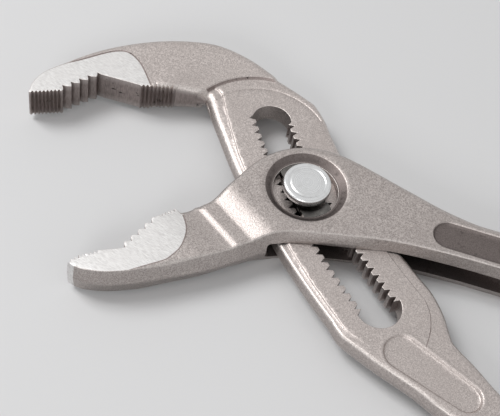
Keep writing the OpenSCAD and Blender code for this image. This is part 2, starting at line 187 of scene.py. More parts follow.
def curve_through(points, spacing):
    """A smooth open curve through a few points."""
    out = []
    for i in range(len(points) - 1):
        a, b, c, d = [points[min(max(k, 0), len(points) - 1)] for k in range(i - 1, i + 3)]
        out += spline(a, b, c, d, max(1, round(np.linalg.norm(c - b) / spacing)))
    return np.array(out + [points[-1]])


def left_of(steps):
    """Directions to the left of the steps of a line."""
    return np.stack([-steps[:, 1], steps[:, 0]], 1) / np.linalg.norm(steps, axis=1)[:, None]


def beside(line, offset):
    """A line moved to its left."""
    return line + left_of(np.gradient(line, axis=0)) * offset


def ground_plans(line, mouth):
    """Plans of a flat ground into a jaw: up to its line, its bright floor alone, and out over its low wall;
    the band between the last two is painted shade.
    """
    return [np.concatenate([beside(line, d), mouth]) for d in (0, shade_inner_edge, shade_outer_edge)]


def ground_marks(line):
    """Lines along the edge of a ground flat: the top and foot of its low wall, and where the painted shade on
    its floor begins.
    """
    return [beside(line, d) for d in (0.06, -0.06, -0.25)]


upper_line = curve_through(upper_ground, ground_step)
upper_flat, upper_bright, upper_shade_plan = ground_plans(upper_line, upper_mouth)

handle_start, handle_heading = np.array([50, 8.4]), math.radians(21)
handle_under = handle_start + turned((14, -6), handle_heading)
swell_at = (-34.6, -34.3, -33, -28, -22, -14, -6, 8, 32, 45)
swell_by = (0, 1.6, 1.4, 1.1, 0.75, 0.6, 0.3, -0.6, -1, 0)


def stretch(outline, start, end):
    """Which points of an outline lie between two of its corners, going round to the left."""
    first = np.linalg.norm(outline - start, axis=1).argmin()
    last = np.linalg.norm(outline - end, axis=1).argmin()
    order = np.arange(len(outline))
    return (order >= first) & (order < last) if first < last else (order >= first) | (order < last)


def spokes(points):
    """Directions from the slot's centre to points of the plan."""
    reach = points - (0, slot_radius)
    return reach / np.linalg.norm(reach, axis=1)[:, None]


on_open_side = stretch(slotted_outline, upper_throat, handle_under)
open_side = slotted_outline[on_open_side]
swell = np.where(on_open_side, np.interp(slotted_outline[:, 0], swell_at, swell_by), 0)
slotted_outline = slotted_outline + spokes(slotted_outline) * swell[:, None]

seat, seat_radius, seat_reach = np.array([-16.9, -3.5]), 18.9, 4
seat_wall, seat_dip, back_dip, dip_end = 0.7, 0.95, 0.85, 9
groove_inset, groove_depth, groove_half = 2.7, 0.12, 0.2
strip_edge, strip_drop, strip_end = (1.5, 1.95), 0.38, (30, 42)
milled_inset, milled_drop, milled_start, milled_stop = 10, 0.25, (9, 13), (41, 44.3)
milled_arc = np.radians(np.arange(3, 12.2, 0.2))
milled_end = np.array([(34, 13.63), (37.2, 13.2), (40, 12), (42.3, 10.4), (44.5, 8.4)])
milled_line = np.concatenate([
    about_centre(milled_arc, slot_radius - milled_inset), curve_through(milled_end, 0.5)])
past_milling = np.concatenate([milled_line, [(60, 40), (0, 40)]])
panel_ends = np.array([(43.9, 3.0, 4.3), (58.05, 11.03, 3.5)])
panel_depth, panel_slope, lip_height, lip_place, lip_half = 0.7, (-0.6, 0.05), 0.06, 0.35, 0.25
slotted_tang = 16.5, 23.7
seat_shade_step, milled_shade_half = 0.15, 0.1
# The third finish is cut steel whose dark tone is painted shade; the fourth is a darker copy of it, painted
# shade in hollows.
forged, ground, cut_and_shade, hollow_shade = range(4)


def distance_to(x, y, line):
    """Distance of points to an open line."""
    points = np.stack([x, y], -1)[:, None]
    along = line[1:] - line[:-1]
    share = np.clip(((points - line[:-1]) * along).sum(-1) / (along * along).sum(-1), 0, 1)
    return np.linalg.norm(points - line[:-1] - share[..., None] * along, axis=-1).min(1)


def eased(value, start, end):
    """0 before start, 1 after end and a soft step between."""
    t = np.clip((value - start) / (end - start), 0, 1)
    return t * t * (3 - 2 * t)


def inside(points, loop):
    """Which of the points lie inside a closed outline."""
    x, y = np.asarray(points, float).T[:, :, None]
    ax, ay = loop.T
    bx, by = np.roll(loop, -1, 0).T
    level = np.where(by == ay, 1e-9, by - ay)
    crossed = ((ay > y) != (by > y)) & (x < (bx - ax) * (y - ay) / level + ax)
    return crossed.sum(1) % 2 == 1


def on_circle(angle):
    """Places on a circle of radius 1."""
    return np.stack([np.cos(angle), np.sin(angle)], -1)


def panel_distance(x, y):
    """Signed distance to the sunk panel's edge, a bar with two round ends of their own radius."""
    a, b = panel_ends
    along = b[:2] - a[:2]
    share = np.clip(((x - a[0]) * along[0] + (y - a[1]) * along[1]) / (along @ along), 0, 1)
    return np.hypot(x - a[0] - along[0] * share, y - a[1] - along[1] * share) - a[2] - (b[2] - a[2]) * share


def strip_shift(x):
    """How much wider the as-forged strip along the shank's open side gets towards its two ends."""
    return np.interp(x, (-32, -14, -4, 8), (0.8, 0, 0, 1.05))


def past_seat(x, y):
    """Distance from the edge of the round milled seat out into the jaw, and well inside it elsewhere."""
    return np.where(x < seat[0] + seat_reach, np.hypot(x - seat[0], y - seat[1]) - seat_radius, -20)


def toward_back(x, y):
    """0 at the mouth's end of the seat's wall, 1 at the back of the jaw, where the wall runs out."""
    return eased(np.arctan2(y - seat[1], seat[0] - x), 0.3, 1.3)


def slotted_face(x, y):
    """Height of the slotted leg's face above its middle plane."""
    points = np.stack([x, y], -1)
    beyond = past_seat(x, y)
    jaw = eased(beyond, 0, seat_wall)
    dip = (seat_dip + back_dip * toward_back(x, y)) * (1 - eased(beyond, seat_wall, dip_end))
    along = (points - handle_start) @ on_circle(handle_heading)
    from_edge = distance_to(x, y, open_side) - strip_shift(x)
    from_panel = panel_distance(x, y)
    height = shank_half + (jaw_half - shank_half - dip) * jaw
    height += (tang_half - shank_half) * eased(along, *slotted_tang)
    height -= groove_depth * np.exp(-((beyond + groove_inset) / groove_half) ** 2)
    height -= strip_drop * (1 - eased(from_edge, *strip_edge)) * (1 - jaw) * (1 - eased(x, *strip_end))
    milled = milled_drop * inside(points, past_milling) * eased(x, *milled_start)
    height -= milled * (1 - eased(x, *milled_stop))
    height -= panel_depth * (1 - eased(from_panel, *panel_slope))
    height += lip_height * np.exp(-((from_panel - lip_place) / lip_half) ** 2)
    return height - ground_depth * inside(points, upper_flat)


def slotted_paint(points):
    """The finish of each part of the slotted leg's face, with painted shade on the seat's step, along the
    milled step and along the edge of the ground flat.
    """
    beyond = past_seat(*points.T)
    # Painted shade: a dark band on the seat's step, narrowing in steps towards the back of the jaw, and a
    # thin dark line along the milled step.
    dark = (beyond > 0) & (beyond < seat_shade_step * np.ceil(3 - 3 * toward_back(*points.T)))
    dark |= inside(points, upper_shade_plan) | (distance_to(*points.T, milled_line) < milled_shade_half)
    return np.where(inside(points, upper_bright), ground, np.where(dark, cut_and_shade, forged))


coarse_root, fine_root, root_turn = 0.38, 0.16, math.radians(45)
tooth_rim, throat_rim, slot_edge = 0.06, 1.2, 0.14
teeth_end, notch_slope, round_length = -22.5, 0.4, 5


def inward_ways(outline):
    """The steps of a closed outline, the left of each step, and the way inward at each point."""
    steps = np.roll(outline, -1, 0) - outline
    side = left_of(steps)
    inward = side + np.roll(side, 1, 0)
    return steps, side, inward / np.maximum(np.linalg.norm(inward, axis=1), 1e-6)[:, None]


def bitten(outline, teeth):
    """An outline with the roots of its teeth cut deeper, the coarse teeth's more than the fine ones'."""
    turns = turn_angles(outline)
    tips = np.abs(turns) > root_turn
    fine = np.roll(tips, 1) & np.roll(tips, -1)
    root = np.where(teeth & (turns < -root_turn), np.where(fine, fine_root, coarse_root), 0)
    return outline + inward_ways(outline)[2] * root[:, None]


def softened(values, width):
    """Values along a closed outline, averaged over their neighbours."""
    return sum(np.roll(values, k) for k in range(-width, width + 1)) / (2 * width + 1)


def cut_rim(outline, radius, finish):
    """The rim of an opening that is cut straight through: one small radius and no draft."""
    count = len(outline)
    return outline, np.full(count, radius), np.zeros(count), np.broadcast_to(finish, count), 0


mouth = stretch(slotted_outline, upper_tip, upper_throat)
slotted_outline = bitten(slotted_outline, mouth)
x, y = slotted_outline.T
from_tip = np.linalg.norm(slotted_outline - upper_tip, axis=1)
jaw_back = eased(-x, 26, 34)
# The teeth walls are cut steel darkened as painted shade and dark reflection; the outline's wall where the
# seat's step meets it is painted shade.
shaded_seat_end = (np.abs(past_seat(x, y) - 0.5) < 1.2) & (y < -8)
jaw_finish = np.where(mouth | shaded_seat_end, cut_and_shade, forged)
open_radius = np.interp(x, (-34, -14, 8, 60), (1.7, 1.4, 0.8, 0.8))
slotted_radius = np.where(on_open_side, open_radius, 1.0 + 0.3 * jaw_back)
slotted_radius *= 0.1 + 0.9 * eased(from_tip, 4, 32)
slotted_radius = np.where(mouth, np.where(y < teeth_end, tooth_rim, throat_rim), slotted_radius)
slotted_radius = softened(slotted_radius, 2)
slotted_radius[mouth & (y < teeth_end - 0.3)] = tooth_rim
slotted_draft = 0.2 + 0.15 * jaw_back * eased(from_tip, 4, 24) + 0.2 * eased(x, 34, 46)
slotted_draft = softened(np.where(mouth, 0, slotted_draft), 3)
slotted_draft[mouth] = 0

slot_run = np.roll(slot_outline, -1, 0) - slot_outline
slot_run /= np.linalg.norm(slot_run, axis=1)[:, None]
slot_x = slot_outline[:, 0]
# The notch flanks of the racks take the dark cut steel as painted shade in the notches; the crests stay
# forged.
shaded_notches = np.abs((slot_run * spokes(slot_outline)).sum(1)) > notch_slope
shaded_notches &= (slot_x > slot_x.min() + round_length) & (slot_x < slot_x.max() - round_length)
slot_rim = cut_rim(slot_outline, slot_edge, np.where(shaded_notches, cut_and_shade, forged))

seat_arc = on_circle(np.radians(np.arange(95, 262, 1.5)))
seat_offsets = (-3.0, -2.85, -2.7, -2.55, -2.4, 0, 0.15, 0.3, 0.45, 0.6, 0.72)
slotted_marks = ground_marks(upper_line)
slotted_marks += [seat + (seat_radius + d) * seat_arc for d in seat_offsets]
strip_wider = strip_shift(open_side[:, 0])[:, None]
slotted_marks += [beside(open_side, d + strip_wider) for d in (1.5, 1.65, 1.8, 1.98)]
slotted_marks += [beside(milled_line, d) for d in (-0.11, 0.11)]
panel_run = panel_ends[1, :2] - panel_ends[0, :2]
panel_side = left_of(panel_run[None])[0]
panel_angle = math.atan2(panel_run[1], panel_run[0])
panel_share = np.linspace(0, 1, 30)[1:-1, None]
half_circle = np.radians(np.linspace(-90, 90, 40))
for offset in (-0.62, -0.45, -0.28, -0.1, 0.08, 0.35, 0.6, 0.85):
    for end, facing in zip(panel_ends, (panel_angle + math.pi, panel_angle)):
        slotted_marks.append(end[:2] + (end[2] + offset) * on_circle(facing + half_circle))
    for way in (-1, 1):
        first, last = [end[:2] + way * panel_side * (end[2] + offset) for end in panel_ends]
        slotted_marks.append(first + (last - first) * panel_share)

rim_angles = [math.radians(a) for a in (90, 62, 34, 8)]
flash_foot, flash_edge, flash_reach, flash_share, flash_wear = 0.42, 0.26, 0.09, 0.07, 0.1
flash_growth, flash_fade = 0.2, 0.4
slant_inset, lowest_slant = 0.2, 1.1
sharpest_mitre, tightest_step, drawn_share, thin_rim = 0.6, 0.35, 0.8, 0.2
mark_room, link_room, row_share = 0.12, 0.45, 0.866


def drawn_in(points, radius, draft, finish):
    """The ways inward from an outline, and its radius and draft, made smaller where a corner is tight."""
    steps, side, inward = inward_ways(points)
    inward = inward / np.clip((inward * side).sum(1), sharpest_mitre, 1)[:, None]
    calm = np.stack([softened(part, 7) for part in inward.T], 1)
    calm /= np.linalg.norm(calm, axis=1)[:, None]
    inward = np.where(((finish != forged) & (radius > thin_rim))[:, None], calm, inward)
    folded = np.ones(len(points), bool)
    while folded.any():
        full = points + inward * (draft + radius)[:, None]
        folded = ((np.roll(full, -1, 0) - full) * steps).sum(1) < tightest_step * (steps * steps).sum(1)
        tight = np.where(folded | np.roll(folded, 1), drawn_share, 1)
        radius, draft = radius * tight, draft * tight
    return inward, radius, draft


def rim_rows(height, radius, draft, slant, drop):
    """Inset, height and wear of a rim's rows, from a face down to the trimmed parting line."""
    trimmed = np.clip(draft / flash_growth, 0, 1) * np.clip((1 - draft) / flash_fade, 0, 1)
    trimmed = softened(trimmed, 5) * (draft > 0)
    rows = [(draft + radius * (1 - math.cos(a)), height - radius * (1 - math.sin(a)), math.sin(2 * a))
            for a in rim_angles]
    low = draft * (1 - slant) + slant_inset * slant
    knee = draft * (1 + flash_share) / 2 * (1 - slant) + low * slant
    plain = (height - radius + flash_foot) / 2
    deep = np.maximum(height - drop, lowest_slant)
    rows.append((knee, plain * (1 - slant) + deep * slant, 0))
    rows.append((low * flash_share + flash_reach * trimmed, np.full_like(height, flash_foot), 0))
    rows.append((np.zeros_like(height), np.full_like(height, flash_edge), flash_wear * trimmed))
    return rows


def tree_of(plan):
    """A search tree over points of the plan."""
    tree = KDTree(len(plan))
    for i, p in enumerate(plan):
        tree.insert((*p, 0), i)
    tree.balance()
    return tree


def grid_points(low, high, spacing):
    """A staggered grid over a rectangle of the plan."""
    rows = []
    for k, y in enumerate(np.arange(low[1], high[1], spacing * row_share)):
        x = np.arange(low[0] + (k % 2) * spacing / 2, high[0], spacing)
        rows.append(np.stack([x, np.full_like(x, y)], 1))
    return np.concatenate(rows)


def between_rows(first, count):
    """Faces from a closed row of points to the row that comes after it."""
    after = first + count
    return [(first + i, after + i, after + (i + 1) % count, first + (i + 1) % count) for i in range(count)]


def mesh_of(name, spots, faces):
    """A mesh of points in millimetres and the faces between them."""
    mesh = bpy.data.meshes.new(name)
    mesh.from_pydata((np.array(spots) * MM).tolist(), [], faces)
    return mesh


def placed(name, data):
    """A new object of the scene."""
    thing = bpy.data.objects.new(name, data)
    bpy.context.scene.collection.objects.link(thing)
    return thing


def forging(name, rims, front, rear, marks, grids, paint, turn):
    """A closed solid on a plan, with faces that follow two height functions. A rim has an outline, its
    radius, its draft, the finish of its wall, and how far and how deep the wall slants."""
    spots, worn, faces, finishes = [], [], [], []
    plan, links, outlines, front_ids, rear_ids = [], [], [], [], []
    for points, radius, draft, finish, slanted in rims:
        count = len(points)
        slant, drop = np.broadcast_to(slanted, (count, 2)).T
        inward, radius, draft = drawn_in(points, radius, draft, finish)
        full = points + inward * (draft + radius)[:, None]
        rows = rim_rows(front(*full.T), radius, draft, slant, drop)
        under = rim_rows(rear(*full.T), radius, draft, slant, drop)
        rows += [(inset, -height, wear) for inset, height, wear in under[::-1]]
        base = len(spots)
        for inset, height, wear in rows:
            spots += [(*p, z) for p, z in zip(points + inward * inset[:, None], height)]
            worn += list(np.broadcast_to(wear, count))
        for k in range(len(rows) - 1):
            wall = len(rim_angles) - 1 <= k < len(rows) - len(rim_angles)
            faces += between_rows(base + k * count, count)
            finishes += [tint if wall or size < thin_rim else forged for tint, size in zip(finish, radius)]
        links += [(len(plan) + i, len(plan) + (i + 1) % count) for i in range(count)]
        plan += [tuple(p) for p in full]
        outlines.append(full)
        front_ids += range(base, base + count)
        rear_ids += range(base + (len(rows) - 1) * count, base + len(rows) * count)

    def within(points):
        kept = inside(points, outlines[0])
        for hole in outlines[1:]:
            kept &= ~inside(points, hole)
        return kept

    rim_count = len(plan)
    rim_tree = tree_of(plan)
    for line in marks:
        last = None
        for p, kept in zip(line, within(line)):
            room = rim_tree.find((*p, 0))[2]
            if kept and room > mark_room:
                if last is not None and room > link_room:
                    links.append((last, len(plan)))
                last = len(plan) if room > link_room else None
                plan.append(tuple(p))
            else:
                last = None
    mark_tree = tree_of(plan)
    for low, high, spacing in grids:
        points = grid_points(low, high, spacing)
        plan += [tuple(p) for p in points[within(points)] if mark_tree.find((*p, 0))[2] > spacing / 2]
    flat, _, triangles, sources, _, _ = delaunay_2d_cdt([Vector(p) for p in plan], links, [], 0, 1e-6, True)
    flat = np.array([tuple(p) for p in flat])
    triangles = np.array(triangles)
    triangles = triangles[within(flat[triangles].mean(1))]
    top, under = [], []
    for p, high, low, source in zip(flat, front(*flat.T), rear(*flat.T), sources):
        on_rim = [s for s in source if s < rim_count]
        if on_rim:
            top.append(front_ids[on_rim[0]])
            under.append(rear_ids[on_rim[0]])
        else:
            top.append(len(spots))
            under.append(len(spots) + 1)
            spots += [(*p, high), (*p, -low)]
            worn += [0, 0]
    for (a, b, c), finish in zip(triangles, paint(flat[triangles].mean(1))):
        faces += [(top[a], top[b], top[c]), (under[c], under[b], under[a])]
        finishes += [int(finish)] * 2
    spots = np.array(spots)
    spots[:, :2] = turned(spots[:, :2], turn)
    spots[:, 2] += mid_height
    used = sorted({i for face in faces for i in face})
    place = {old: new for new, old in enumerate(used)}
    mesh = mesh_of(name, spots[used], [[place[i] for i in face] for face in faces])
    mesh.polygons.foreach_set("material_index", finishes)
    mesh.attributes.new("rim", "FLOAT", "POINT").data.foreach_set("value", [worn[i] for i in used])
    return placed(name, mesh)


def finished(piece, sharp_degrees):
    """Outward faces, smooth shading up to a crease angle and normals that follow the large faces."""
    shape = bmesh.new()
    shape.from_mesh(piece.data)
    bmesh.ops.recalc_face_normals(shape, faces=shape.faces)
    shape.to_mesh(piece.data)
    shape.free()
    piece.data.polygons.foreach_set("use_smooth", [True] * len(piece.data.polygons))
    piece.data.set_sharp_from_angle(angle=math.radians(sharp_degrees))
    weighted = piece.modifiers.new("even normals", "WEIGHTED_NORMAL")
    weighted.keep_sharp = True


class Finish:
    """A material under construction: its node tree, its shader and its place in the piece."""

    def __init__(self, name):
        self.material = bpy.data.materials.new(name)
        self.material.use_nodes = True
        self.tree = self.material.node_tree
        self.shader = self.tree.nodes["Principled BSDF"]
        self.place = self.tree.nodes.new("ShaderNodeTexCoord").outputs["Object"]

    def feed(self, socket, source):
        """Joins another node's output to a socket, or sets the socket's own value."""
        if isinstance(source, bpy.types.NodeSocket):
            self.tree.links.new(source, socket)
        else:
            socket.default_value = source

    def add(self, kind, inputs, **settings):
        node = self.tree.nodes.new("ShaderNode" + kind)
        for key, value in settings.items():
            setattr(node, key, value)
        for socket, source in inputs.items():
            self.feed(node.inputs[socket], source)
        return node

    def scaled(self, *scale, turn=0):
        """The place in the piece, drawn out or pressed together along its axes."""
        inputs = {"Vector": self.place, "Scale": scale, "Rotation": (0, 0, turn)}
        return self.add("Mapping", inputs).outputs["Vector"]

    def noise(self, scale, detail=3.0, rough=0.55, place=None):
        return self.add("TexNoise", {"Vector": place or self.place, "Scale": scale, "Detail": detail,
                                     "Roughness": rough}).outputs["Fac"]

    def wear(self):
        """How much a rim is rubbed, as the mesh carries it."""
        return self.add("Attribute", {}, attribute_name="rim").outputs["Fac"]

    def both(self, operation, first, second):
        return self.add("Math", {0: first, 1: second}, operation=operation).outputs[0]

    def ramp(self, value, stops):
        node = self.add("ValToRGB", {"Fac": value})
        for end, (at, tone) in zip(node.color_ramp.elements, stops):
            end.position = at
            end.color = (*tone, 1)
        return node.outputs["Color"]

    def level(self, value, low, high, start, end):
        return self.add("MapRange", {"Value": value, "From Min": start, "From Max": end,
                                     "To Min": low, "To Max": high}).outputs["Result"]

    def blend(self, share, first, second):
        """Goes over from a socket's colour to a plain tone."""
        return self.add("Mix", {0: share, 6: first, 7: (*second, 1)}, data_type="RGBA").outputs[2]

    def bump(self, height, strength, depth):
        return self.add("Bump", {"Height": height, "Strength": strength, "Distance": depth}).outputs["Normal"]

    def set(self, **sockets):
        for name, source in sockets.items():
            self.feed(self.shader.inputs[name.replace("_", " ")], source)
        return self.material


def shaded(shade, *tone):
    """A tone at another strength."""
    return tuple(shade * part for part in tone)


def forged_steel(name, shade, contrast):
    """Blasted forging skin: a warm grey grain with light specks, rubbed paler along the rims."""
    steel = Finish(name)
    dark, light = [shaded(shade * (1 + way * contrast), 0.45, 0.405, 0.386) for way in (-1, 1)]
    grain = steel.noise(3800, 4, 0.68)
    speck = steel.noise(1900, 3, 0.65)
    broad = steel.noise(60, 2)
    tone = steel.ramp(grain, [(0.37, dark), (0.63, light)])
    tone = steel.blend(steel.level(speck, 0, 0.6, 0.5, 0.72), tone, shaded(shade, 0.64, 0.59, 0.565))
    tone = steel.blend(steel.level(broad, 0, 0.3, 0.4, 0.7), tone, shaded(shade, 0.40, 0.355, 0.337))
    rubbed = steel.both("MULTIPLY", steel.wear(), steel.level(speck, 0.1, 0.8, 0.3, 0.7))
    tone = steel.blend(rubbed, tone, shaded(shade, 0.66, 0.62, 0.595))
    rough = steel.level(speck, 0.36, 0.48, 0.3, 0.7)
    normal = steel.bump(steel.both("ADD", grain, speck), 0.35, 0.0001)
    return steel.set(Base_Color=tone, Metallic=1.0, Roughness=rough, Normal=normal)


def ground_steel():
    """Bright steel with the long fine lines of the grinding wheel."""
    steel = Finish("ground steel")
    lines = steel.noise(900, 5, 0.7, steel.scaled(1, 9, 1, turn=math.radians(32)))
    cloud = steel.noise(160, 3)
    tone = steel.ramp(lines, [(0.36, (0.56, 0.545, 0.535)), (0.64, (0.82, 0.81, 0.80))])
    tone = steel.blend(steel.level(cloud, 0, 0.4, 0.4, 0.7), tone, (0.72, 0.70, 0.69))
    rough = steel.level(lines, 0.3, 0.44, 0.3, 0.7)
    return steel.set(Base_Color=tone, Metallic=1.0, Roughness=rough, Normal=steel.bump(lines, 0.2, 0.00004))


def shaded_cut_steel(name, shade, pitted):
    """Cut steel with the tool's lines through its thickness and a few open pits, its dark tone painted shade
    and dark reflection on the teeth, notches, walls and hollows it covers.
    """
    steel = Finish(name)
    lines = steel.noise(700, 4, 0.6, steel.scaled(6, 6, 1))
    pits = steel.noise(560, 2)
    dark, light = shaded(shade, 0.19, 0.158, 0.15), shaded(shade, 0.36, 0.31, 0.295)
    tone = steel.ramp(lines, [(0.3, dark), (0.7, light)])
    tone = steel.blend(steel.level(pits, 0, pitted, 0.66, 0.72), tone, (0.03, 0.026, 0.024))
    tone = steel.blend(steel.wear(), tone, shaded(shade, 0.82, 0.77, 0.74))
    rough = steel.level(lines, 0.4, 0.58, 0.3, 0.7)
    return steel.set(Base_Color=tone, Metallic=1.0, Roughness=rough, Normal=steel.bump(lines, 0.3, 0.0001))


slotted_leg = forging(
    "slotted_leg_forging",
    [(slotted_outline, slotted_radius, slotted_draft, jaw_finish, 0), slot_rim],
    slotted_face, slotted_face, slotted_marks,
    [((-58, -56), (78, 36), 0.9), ((78, 0), (190, 80), 3)],
    slotted_paint, slotted_turn)
# The third material's dark tone is painted shade on the slotted leg's teeth, notches and step walls.
steels = [forged_steel("forged steel", 1, 0.28), ground_steel(), shaded_cut_steel("broached steel", 1, 0.85)]
for steel in steels:
    slotted_leg.data.materials.append(steel)
finished(slotted_leg, 38)
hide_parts("slotted_leg")
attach(slotted_leg, "slotted_leg")

# Box leg: the second drop forging, with the lower jaw, the forked box that straddles the shank, and the
# upper handle. A ramp rises from the jaw to the two plates of the box, which are bored for the bolt and
# countersunk round the button, and the opening for the shank is milled from one side to the other.
box_turn = math.radians(15)
box_half, gap_half = mid_height, 2.6
plate_level = mid_height + 3.5
ramp_foot, ramp_heading = np.array([-15, -17.4]), math.radians(54.5)
neck_dip, neck_from, ramp_step, step_from, step_to = 0.5, -9, 0.4, -0.6, 1.1
ramp_from, ramp_to, ramp_bow = 3.9, 9.9, 1.25
sink_floor, sink_edge, sink_depth = 8.0, 9.4, 1.3
broken_depth, broken_half, broken_reach = 0.1, 0.14, 0.5
box_handle, box_heading = np.array([40, -2.2]), math.radians(-1)
box_tang = 19.7, 25.7
channel_from, channel_to, channel_half, channel_depth, channel_slope = -10.0, 14.0, 3.6, 0.8, (-0.6, 0.1)
lower_tip, lower_heel = np.array([-44.3, -35.5]), np.array([-26.3, -14.1])
lower_nose = np.array([-42.6, -36.5])
slant_start, slant_end = np.array([-34, -37.5]), np.array([84, -8.6])
slant_rim, slant_draft, bore_edge = 0.45, 1.3, 0.12
lower_ground = np.array([
    (-25.9, -13.8), (-25.5, -14.4), (-24.1, -15.9), (-22.6, -18.7), (-22.2, -21.6), (-22.5, -24.3),
    (-23.6, -26.7), (-24.7, -28.3), (-27.5, -30.5), (-31.2, -33.4), (-33.9, -35.6), (-36.8, -36.9),
    (-40, -37.5), (-42.5, -37.3), (-46, -36.2)])
lower_mouth = np.array([(-50, -30), (-34, -10)])
lower_line = curve_through(lower_ground, ground_step)
lower_flat, lower_bright, lower_shade_plan = ground_plans(lower_line, lower_mouth)


def on_axes(x, y, origin, heading):
    """Place along a line on the plan and across it."""
    ahead, aside = math.cos(heading), math.sin(heading)
    return ((x - origin[0]) * ahead + (y - origin[1]) * aside,
            (y - origin[1]) * ahead - (x - origin[0]) * aside)


def channel_distance(x, y):
    """Signed distance to the edge of the handle's sunk channel, with round ends."""
    along, across = on_axes(x, y, box_handle, box_heading)
    nearest = np.clip(along, channel_from + channel_half, channel_to - channel_half)
    return np.hypot(along - nearest, across) - channel_half


def box_rear(x, y):
    """Height of the box leg's rear face below its middle plane."""
    climb = on_axes(x, y, ramp_foot, ramp_heading)[0]
    along = on_axes(x, y, box_handle, box_heading)[0]
    rise = np.clip((climb - ramp_from) / (ramp_to - ramp_from), 0, 1)
    height = jaw_half - neck_dip * eased(climb, neck_from, step_from)
    height += ramp_step * eased(climb, step_from, step_to)
    height += (box_half - jaw_half + neck_dip - ramp_step) * np.sin(rise * math.pi / 2) ** ramp_bow
    height -= (box_half - tang_half) * eased(along, *box_tang)
    height -= channel_depth * (1 - eased(channel_distance(x, y), *channel_slope))
    return height - ground_depth * inside(np.stack([x, y], -1), lower_flat)


def box_front(x, y):
    """Height of the box leg's front face, with the countersink round the button."""
    out = np.hypot(x, y)
    cone = box_half - sink_depth * np.clip((sink_edge - out) / (sink_edge - sink_floor), 0, 1)
    broken = broken_depth * np.exp(-((out - sink_edge) / broken_half) ** 2)
    return np.where(out < sink_edge + broken_reach, cone - broken, box_rear(x, y))


def box_paint(points):
    """The finish of each part of the box leg's faces, with painted shade in the countersink, in the handle's
    channel and along the edge of the ground flat.
    """
    # The countersink and the handle's channel are painted shade in the darkest steel.
    sunk = (np.hypot(*points.T) < sink_edge) | (channel_distance(*points.T) < -0.1)
    plain = np.where(inside(points, lower_shade_plan), cut_and_shade, np.where(sunk, hollow_shade, forged))
    return np.where(inside(points, lower_bright), ground, plain)


box_outline, bore_outline = [
    faired(loop, outline_step, clockwise=hole)
    for loop, hole in zip(plan_loops("box_leg", plate_level, box_turn), (False, True))]
biting = stretch(box_outline, lower_heel, lower_tip)
nose = stretch(box_outline, lower_tip, lower_nose)
open_wall = stretch(box_outline, slant_start, slant_end)
box_outline = bitten(box_outline, biting)
x = box_outline[:, 0]
from_tip = np.linalg.norm(box_outline - lower_tip, axis=1)
slant = open_wall * eased(x, -25, -14) * (1 - eased(x, 68, 82))
slant_drop = 3.6 - 1.6 * (eased(x, -6, 3) - eased(x, 14, 22))
tang_end = 1 - 0.9 * eased(x, 172, 177)
box_radius = (1.2 + 0.5 * eased(x, 20, 34)) * (0.12 + 0.88 * eased(from_tip, 14, 23))
box_radius = (box_radius * (1 - slant) + slant_rim * slant) * tang_end
box_radius = softened(np.where(biting, tooth_rim, box_radius), 2)
box_radius[biting] = tooth_rim
box_draft = (0.9 - 0.6 * eased(x, -30, -14) * ~open_wall) * (0.3 + 0.7 * eased(from_tip, 1, 5))
box_draft = (box_draft * (1 - slant) + slant_draft * slant) * tang_end
box_draft = softened(np.where(biting, 0, box_draft), 3)
box_draft[biting] = 0
# The lower teeth walls and the bore's wall are cut steel darkened as painted shade and dark reflection; the
# tip's facet is ground.
bite_finish = np.where(biting, cut_and_shade, np.where(nose, ground, forged))
bore_rim = cut_rim(bore_outline, bore_edge, cut_and_shade)

full_circle = on_circle(np.radians(np.arange(0, 360, 1.5)))
box_marks = ground_marks(lower_line)
box_marks += [(sink_floor + d) * full_circle for d in (-0.05, 0.05)]
box_marks += [(sink_edge + d) * full_circle for d in (-0.2, -0.1, 0, 0.1, 0.2)]
ramp_span = np.arange(-25, 25, 0.6)
for climb in (-0.6, -0.3, 0, 0.25, 0.5, 0.8, 1.1, 3.8, 4.0, 4.3, 4.7, 5.2, 5.8, 6.5, 7.3, 8.2, 9.1, 10):
    level_line = np.stack([np.full_like(ramp_span, climb), ramp_span], 1)
    box_marks.append(ramp_foot + turned(level_line, ramp_heading))
channel_run = np.arange(channel_from + channel_half, channel_to - channel_half, 0.6)[1:]
channel_round = on_circle(np.radians(np.linspace(-90, 90, 14)))
for offset in (-0.65, -0.4, -0.15, 0.12):
    half = channel_half + offset
    far_end = (channel_to - channel_half, 0) + half * channel_round
    near_end = (channel_from + channel_half, 0) + half * channel_round * (-1, 1)
    sides = [np.stack([channel_run, np.full_like(channel_run, way * half)], 1) for way in (-1, 1)]
    box_marks += [box_handle + turned(line, box_heading) for line in (far_end, near_end, *sides)]

box_leg = forging(
    "box_leg_forging",
    [(box_outline, box_radius, box_draft, bite_finish, np.stack([slant, slant_drop], 1)), bore_rim],
    box_front, box_rear, box_marks,
    [((-50, -42), (66, 18), 0.9), ((66, -20), (190, 40), 3)],
    box_paint, box_turn)
box_steels = [forged_steel("forged steel of the box leg", 0.86, 0.33), *steels[1:]]
# A darker copy of the cut steel: painted shade in the countersink, the channel and the faces cut for the gap
# and the ring seat.
box_steels.append(shaded_cut_steel("bored steel", 0.55, 0.3))
for steel in box_steels:
    box_leg.data.materials.append(steel)

